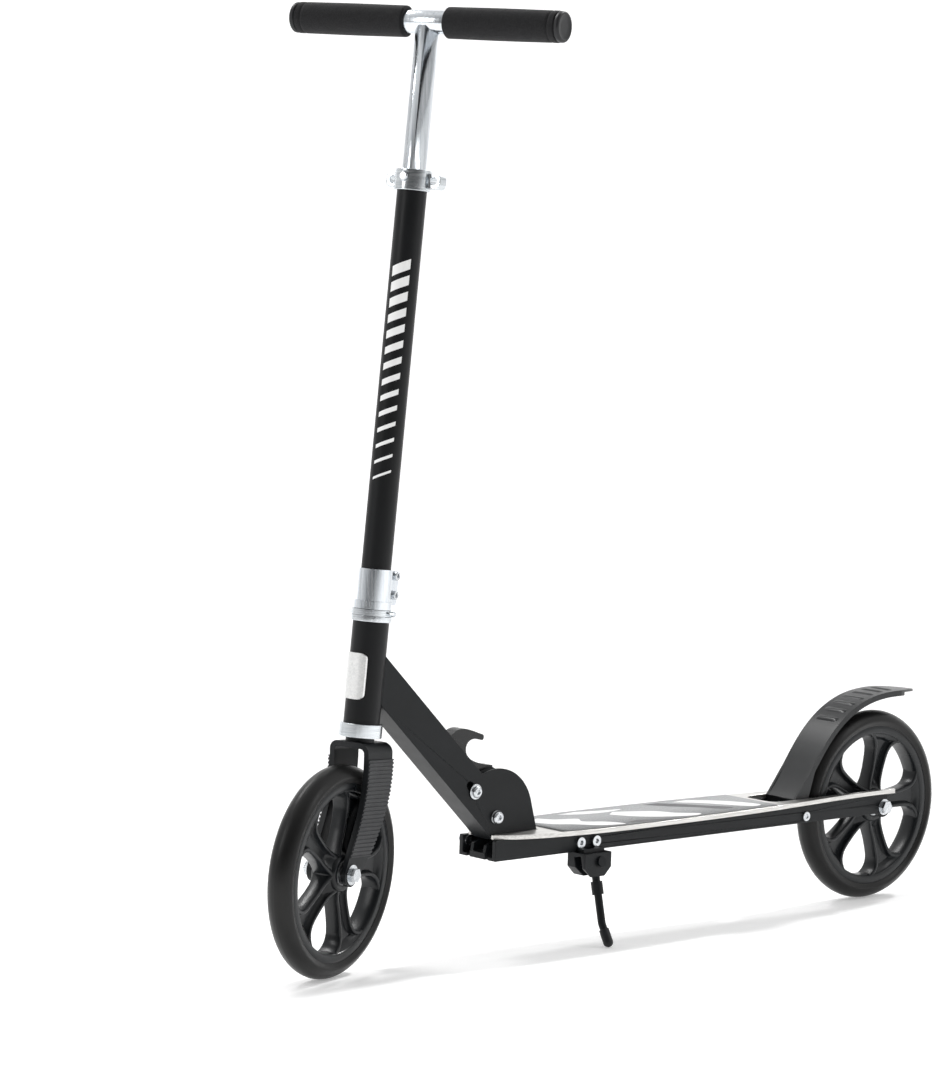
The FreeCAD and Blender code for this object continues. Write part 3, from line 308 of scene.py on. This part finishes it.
def spoke(turn):
    """One spoke: two ribs with a channel between them on each face, lofted from hub to rim."""
    rows = []
    stations = 26
    inner, outer = 13.5, 76.8
    for i in range(stations + 1):
        r = inner + (outer - inner) * i / stations
        w, d = spoke_half_width(r), spoke_half_depth(r)
        rib = 2.6 + 1.2 * (w - 9.0) / 8.0
        channel = 4.8 * min(1.0, max(0.0, (r - 17.0) / 8.0)) * min(1.0, max(0.0, (74.5 - r) / 5.0))
        floor = -d + channel + 0.4
        side = [(-w, -d + 1.4), (-w + 0.5, -d + 0.45), (-w + 1.4, -d), (-w + rib, -d),
                (-w + rib + 0.8, -d + 0.4), (-w + rib + 1.5, -d + channel * 0.7 + 0.4),
                (-w + rib + 3.0, floor), (0.0, floor)]
        low = side + [(-t, y) for t, y in reversed(side[:-1])]
        rows.append([(r, t, y) for t, y in low + [(-t, -y) for t, y in low]])
    c, s = math.cos(turn), math.sin(turn)
    vertices = []
    for r, t, y in (point for row in rows for point in row):
        length = math.sqrt(max(r * r - t * t, 1.0)) if r > 60.0 else r
        vertices.append((length * c - t * s, y, length * s + t * c))
    count = len(rows[0])
    faces = grid_faces(len(rows), count, False, True)
    faces.append(tuple(range(count)))
    faces.append(tuple(stations * count + k for k in reversed(range(count))))
    return vertices, faces


def wheel_core(name, matrix, body, node):
    """Moulded wheel: rim ring, five channelled spokes and a hub with bearing seats."""
    ring = [(84.0, -10.6), (83.4, -11.0), (77.4, -11.0), (76.3, -10.5), (75.6, -9.2), (74.9, -4.0),
            (74.7, 0.0), (74.9, 4.0), (75.6, 9.2), (76.3, 10.5), (77.4, 11.0), (83.4, 11.0), (84.0, 10.6)]
    hub = [(6.6, -6.1), (11.05, -6.1), (11.05, -12.6), (11.5, -13.0), (15.4, -13.0), (16.4, -12.5),
           (17.2, -11.0), (18.2, -7.5), (18.6, 0.0), (18.2, 7.5), (17.2, 11.0), (16.4, 12.5),
           (15.4, 13.0), (11.5, 13.0), (11.05, 12.6), (11.05, 6.1), (6.6, 6.1)]
    shells = [lathe(ring, 160), lathe(hub, 72)]
    shells += [spoke(FIRST_SPOKE + 2 * math.pi * k / SPOKES) for k in range(SPOKES)]
    vertices, faces = [], []
    for points, polygons in shells:
        base = len(vertices)
        vertices += points
        faces += [tuple(base + k for k in polygon) for polygon in polygons]
    return piece(name, vertices, faces, matrix, body, CORE, (node,), 42.0)


wheel_core("core_rear_detailed", REAR_WHEEL, "rear_wheel", "rear_rim")
wheel_core("core_front_detailed", FRONT_WHEEL, "front_wheel", "front_rim")
for ring in ("rear_bearings", "front_bearings", "rear_spacers", "front_spacers", "headset_bearings"):
    dress(ring, STEEL, 0.3)
for bolt in ("rear_axle", "front_axle", "pivot_bolt", "lock_pin", "brake_pin", "nose_bolt", "stand_bolts",
             "clamp_bolts"):
    dress(bolt, CHROME, 0.45)


# ---- bar ------------------------------------------------------------------------------------------
def grip(name, side, node):
    """Foam sleeve, fuller in the middle, with rolled ends and a ring groove near the cap."""
    profile = []
    inner, outer = 21.5, 139.0
    for k in range(80):
        t = k / 79
        v = inner + (outer - inner) * t
        roll = min(1.0, (v - inner) / 2.2, (outer - v) / 1.6)
        radius = 13.2 + 1.75 * math.sqrt(max(0.0, 1 - (1 - roll) ** 2))
        radius -= 0.25 * math.cos(math.pi * t) ** 2
        radius -= 0.95 * math.exp(-((v - 131.5) / 0.8) ** 2)
        profile.append((radius, v))
    profile += [(11.15, outer), (11.15, inner)]
    vertices, faces = lathe([(r, side * v) for r, v in profile], 96)
    vertices = [(x, y, z + BAR_HEIGHT) for x, y, z in vertices]
    made = piece(name, vertices, faces, COLUMN, "t_bar", FOAM, (node,))
    return made


grip("grip_left_foam", 1, "grip_left")
grip("grip_right_foam", -1, "grip_right")


def end_cap(name, side, node):
    """Rubber plug with a shallow dished face and a raised rim."""
    profile = [(9.5, 127.0), (9.5, 139.0), (14.0, 139.0), (14.35, 139.4), (14.4, 141.6), (14.1, 142.8),
               (13.3, 143.6), (12.2, 143.8), (11.2, 143.5), (10.6, 142.9), (6.0, 142.7),
               (0.01, 142.7), (0.01, 127.0)]
    vertices, faces = lathe([(r, side * v) for r, v in profile], 72)
    vertices = [(x, y, z + BAR_HEIGHT) for x, y, z in vertices]
    return piece(name, vertices, faces, COLUMN, "t_bar", CAP, (node,), 60.0)


end_cap("cap_left_detailed", 1, "grip_cap_left")
end_cap("cap_right_detailed", -1, "grip_cap_right")
dress("cross_bar", POLISHED, 0)
dress("inner_tube", POLISHED, 0)
dress("outer_tube", GLOSS, 0.4)
dress("steerer_tube", STEEL, 0)
dress("upper_collar", TURNED, 0.6)
dress("height_button", CHROME, 0.3)
dress("lower_clamp", POLISHED, 0.5)
dress("upper_cone", TURNED, 0.5)
dress("headset_cups", TURNED, 0.5)
dress("head_tube", GLOSS, 0.3)
dress("head_badge", PLATE, 0.25)


def stripes(name, first, bars, facing, radius):
    """Slanted plain bars printed on the column, as thin skins that follow its curve."""
    vertices, faces = [], []
    for low, height, left, right, slant in bars:
        base = len(vertices)
        steps, rows = 10, 6
        for i in range(rows + 1):
            for j in range(steps + 1):
                across = left + (right - left) * j / steps
                turn = math.radians(facing) + across / radius
                s = first + low + height * i / rows + slant * across
                vertices.append((radius * math.cos(turn), radius * math.sin(turn), s))
        for i in range(rows):
            for j in range(steps):
                a = base + i * (steps + 1) + j
                faces.append((a, a + 1, a + steps + 2, a + steps + 1))
    return piece(name, vertices, faces, COLUMN, "steerer", INK)


def ladder(count, pitch, tallest, shortest, half, slant):
    """Slanted bars of one width that get thinner down the column."""
    step = (tallest - shortest) / (count - 1)
    return [(pitch * k, shortest + step * k, -half, half, slant) for k in range(count)]


stripes("column_stripes", 366.0, ladder(14, 14.5, 9.6, 2.4, 9.0, 0.45), 15.0, 14.06)


# ---- fork and stem --------------------------------------------------------------------------------
dress("fork", BLACK, 0.9)
dress("fork_cover_left", RIBBED, 0.25)
dress("fork_cover_right", RIBBED, 0.25)
dress("down_tube", BLACK, 0.5)
dress("fold_bracket", BLACK, 0.4)
dress("release_lever", LEVER, 1.2)
dress("latch_spring", STEEL, 0)
dress("brake_spring", STEEL, 0)


# ---- deck -----------------------------------------------------------------------------------------
dress("deck_board", EDGE, 0.4)
dress("grip_tape", TAPE, 0)
dress("left_rail", BLACK, 0.6)
dress("right_rail", BLACK, 0.6)
dress("floor_plate", BLACK, 0.3)
dress("stand_bracket", BLACK, 0.7)
dress("stand_pin", BLACK, 0.3)
dress("stand_leg", BLACK, 0.4)
dress("stand_foot", CAP, 0.3)


def patch(name, outline, material, lift=0.06):
    """Flat printed shape on the grit, with a smooth outline."""
    path = smooth_path([(x, y, 0) for x, y in outline], 6)
    vertices = [(p.x, p.y, TAPE_TOP + lift) for p in path]
    return piece(name, vertices, [tuple(range(len(vertices)))], DECK, "deck", material)


patch("tape_wave_front", [(474, -20), (462, 4), (444, 16), (424, 34), (396, 40), (404, 22), (424, 8),
                          (418, -6), (440, -14), (452, -28)], TAPE_WHITE)
patch("tape_wave_thin", [(420, -34), (396, -24), (366, -20), (338, -26), (362, -30), (392, -37)], TAPE_WHITE)
patch("tape_wave_middle", [(372, -8), (356, 14), (332, 30), (300, 40), (286, 34), (306, 18), (316, 2),
                           (338, -10), (358, -18)], TAPE_WHITE)
patch("tape_wave_dark", [(392, 36), (366, 42), (334, 43), (350, 36), (372, 30)], TAPE_DARK, 0.05)
patch("tape_wave_rear", [(300, -34), (284, -14), (262, 6), (246, 26), (228, 24), (246, 2), (262, -18),
                         (280, -34)], TAPE_DARK, 0.05)
patch("tape_wave_tail", [(262, -30), (238, -10), (222, 12), (206, 30), (190, 26), (200, 2), (218, -18),
                         (240, -32)], TAPE_WHITE)


# ---- rear guard -----------------------------------------------------------------------------------
GUARD_LINE = [(132.0, 0, 118.0), (108.0, 0, 148.0), (84.0, 0, 178.5), (58.0, 0, 200.5), (25.0, 0, 215.5),
              (-15.0, 0, 221.5), (-66.0, 0, 219.0)]


def guard_ridges(name, count, first, last):
    """Low rounded ribs across the crown of the guard."""
    path = smooth_path(GUARD_LINE, 40)
    lengths = [0.0]
    for a, b in zip(path, path[1:]):
        lengths.append(lengths[-1] + (b - a).length)
    vertices, faces = [], []
    width, across, rows, columns = 8.6, 15.6, 8, 16
    for k in range(count):
        middle = lengths[-1] * (first + (last - first) * k / (count - 1))
        base = len(vertices)
        for layer in (1, 0):
            for i in range(rows + 1):
                s = middle + width * (i / rows - 0.5)
                index = min(range(len(path)), key=lambda n: abs(lengths[n] - s))
                index = max(1, min(index, len(path) - 2))
                way = (path[index + 1] - path[index - 1]).normalized()
                spot = path[index] + way * (s - lengths[index])
                outward = Vector((way.z, 0, -way.x))
                if outward.z < 0:
                    outward = -outward
                for j in range(columns + 1):
                    t = 2 * j / columns - 1
                    rise = 1.5 * math.cos(math.pi * (i / rows - 0.5)) * (1 - t ** 6) if layer else 0.0
                    p = spot + outward * (rise - 0.35) + Vector((0, across * t, 0))
                    vertices.append(tuple(p))
        sheet = (rows + 1) * (columns + 1)
        for i in range(rows):
            for j in range(columns):
                a = base + i * (columns + 1) + j
                faces.append((a, a + 1, a + columns + 2, a + columns + 1))
                faces.append(tuple(sheet + n for n in (a, a + columns + 1, a + columns + 2, a + 1)))
        ring = list(range(columns + 1))
        ring += [i * (columns + 1) + columns for i in range(1, rows + 1)]
        ring += [rows * (columns + 1) + j for j in reversed(range(columns))]
        ring += [i * (columns + 1) for i in reversed(range(1, rows))]
        for a, b in zip(ring, ring[1:] + ring[:1]):
            faces.append((base + a, base + b, base + sheet + b, base + sheet + a))
    return piece(name, vertices, faces, DECK, "guard", GUARD, (), 50.0)


guard_ridges("guard_ridges", 7, 0.43, 0.80)
dress("rear_guard", GUARD, 0.7)


# ---- floor, light and camera ----------------------------------------------------------------------
def backdrop():
    """Pale floor that curves up into a wall behind; the paper glows as painted light, faint near the scooter
    and brighter far off.
    """
    profile = [(-4.5 + 9.0 * (k / 39), 0.0) for k in range(40)]
    for k in range(1, 25):
        angle = math.pi / 2 * k / 24
        profile.append((4.5 + 2.0 * math.sin(angle), 2.0 - 2.0 * math.cos(angle)))
    profile.append((6.5, 6.0))
    away = Vector((-0.6697, -0.7409, 0)).normalized()
    side = Vector((-away.y, away.x, 0))
    vertices = []
    for reach, height in profile:
        for k in range(9):
            p = away * reach + side * (-8 + 2 * k)
            vertices.append((p.x, p.y, height))
    mesh = bpy.data.meshes.new("backdrop")
    mesh.from_pydata(vertices, [], grid_faces(len(profile), 9, False, False))
    mesh.shade_smooth()
    made = bpy.data.objects.new("backdrop", mesh)
    bpy.context.scene.collection.objects.link(made)
    finish = Finish("paper", specular=0.1)
    far = finish.node("ShaderNodeVectorMath")
    far.operation = "LENGTH"
    finish.tree.links.new(finish.coords, far.inputs[0])
    # painted light: emission strength grows with distance from the scene's origin, so the paper glows though
    # it is no lamp
    painted_glow = finish.node("ShaderNodeMapRange", Value=far.outputs["Value"], From_Min=1.2, From_Max=5.0,
                       To_Min=0.28, To_Max=0.62)
    finish.tree.links.new(painted_glow.outputs["Result"], finish.shader.inputs["Emission Strength"])
    finish.shader.inputs["Emission Color"].default_value = (1, 1, 1, 1)
    finish.colour(finish.ramp(finish.noise(3.0), 0.3, 0.7, (0.86, 0.86, 0.86), (0.89, 0.89, 0.89)))
    finish.roughness(finish.spread(finish.noise(20.0), 0.7, 0.8))
    finish.bump(finish.noise(500.0), 0.00005)
    mesh.materials.append(finish.material)


backdrop()


def area_light(name, place, target, size, power):
    data = bpy.data.lights.new(name, "AREA")
    data.shape = "RECTANGLE"
    data.size, data.size_y = size
    data.energy = power
    made = bpy.data.objects.new(name, data)
    bpy.context.scene.collection.objects.link(made)
    made.location = place
    made.rotation_euler = (Vector(target) - Vector(place)).to_track_quat("-Z", "Y").to_euler()


def sun_light(name, heading, elevation, strength, softness):
    """Distant light from a heading on the floor, at an elevation in degrees."""
    data = bpy.data.lights.new(name, "SUN")
    data.energy = strength
    data.angle = math.radians(softness)
    made = bpy.data.objects.new(name, data)
    bpy.context.scene.collection.objects.link(made)
    flat = Vector((*heading, 0)).normalized() * math.cos(math.radians(elevation))
    source = flat + Vector((0, 0, math.sin(math.radians(elevation))))
    made.rotation_euler = (-source).to_track_quat("-Z", "Y").to_euler()


def room_light():
    """World light, brighter from behind the scooter than from the camera's side."""
    world = bpy.data.worlds.new("studio")
    bpy.context.scene.world = world
    world.use_nodes = True
    nodes, links = world.node_tree.nodes, world.node_tree.links
    toward_camera = nodes.new("ShaderNodeVectorMath")
    toward_camera.operation = "DOT_PRODUCT"
    toward_camera.inputs[1].default_value = (0.66, 0.73, -0.18)
    links.new(nodes.new("ShaderNodeTexCoord").outputs["Generated"], toward_camera.inputs[0])
    strength = nodes.new("ShaderNodeMapRange")
    for socket, value in (("From Min", -0.1), ("From Max", 0.85), ("To Min", 0.80), ("To Max", 0.10)):
        strength.inputs[socket].default_value = value
    links.new(toward_camera.outputs["Value"], strength.inputs["Value"])
    links.new(strength.outputs["Result"], nodes["Background"].inputs["Strength"])
    nodes["Background"].inputs["Color"].default_value = (1.0, 1.0, 1.0, 1)


room_light()
sun_light("key", (-0.97, -0.22), 40.0, 1.9, 5.0)
area_light("top_strip", (0.35, -1.5, 2.6), (0.1, 0.0, 0.2), (1.2, 0.3), 22)
area_light("left_softbox", (2.4, -0.4, 1.5), (0.3, 0.0, 0.3), (0.4, 1.2), 10)
area_light("right_softbox", (-1.6, 2.2, 1.6), (-0.2, 0.0, 0.3), (0.4, 1.4), 9)
bpy.context.scene.view_settings.view_transform = "Standard"


def photo_camera():
    """Camera at the fitted place, in the deck frame before the lean."""
    place = DECK @ Vector((2939.6, 2596.2, 714.7))
    ahead = Vector((-0.66968, -0.73753, -0.08698))
    right = Vector((-0.74187, 0.66975, 0.03285))
    up = right.cross(ahead)
    turn = Matrix((right, up, -ahead)).transposed()
    turn = Matrix.Rotation(-LEAN, 3, "X") @ turn
    data = bpy.data.cameras.new("camera")
    data.lens = 125.44
    data.sensor_width = 36.0
    data.clip_end = 60.0
    made = bpy.data.objects.new("camera", data)
    bpy.context.scene.collection.objects.link(made)
    made.matrix_world = Matrix.Translation(place) @ turn.to_4x4()
    bpy.context.scene.camera = made


photo_camera()
